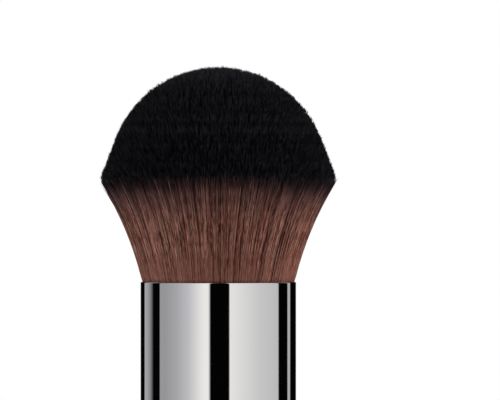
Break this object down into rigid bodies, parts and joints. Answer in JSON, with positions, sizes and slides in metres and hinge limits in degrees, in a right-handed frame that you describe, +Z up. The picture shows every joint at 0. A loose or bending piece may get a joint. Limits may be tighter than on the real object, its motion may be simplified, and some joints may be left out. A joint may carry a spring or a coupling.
{
  "type": "kabuki makeup brush",
  "caption": "Short kabuki makeup brush: a dense domed tuft, brown with black tips, in a bright ferrule on a short waisted black handle that stands on its flat base.",
  "frame": {"origin": "centre of the flat base that the brush stands on", "axes": "+Z up along the brush's axis, from the base to the top of the tuft; the brush is round, so +X and +Y are free, and the picture looks along +Y"},
  "size_m": [0.0422, 0.0422, 0.1065],
  "materials": {
    "bristle": "fine synthetic filaments, warm brown, dyed black towards the tips",
    "thread": "waxed thread",
    "resin": "cast amber resin",
    "cup_plastic": "moulded plastic",
    "ferrule_chrome": "bright polished plating",
    "handle_black": "gloss black lacquer",
    "weight_steel": "turned steel",
    "plug_black": "fine matt moulding"
  },
  "bodies": {
    "root": {"bristle_tuft": "bristle", "binding_thread": "thread", "root_resin": "resin", "tuft_cup": "cup_plastic", "ferrule": "ferrule_chrome", "handle": "handle_black", "balance_weight": "weight_steel", "base_plug": "plug_black"}
  },
  "joints": []
}
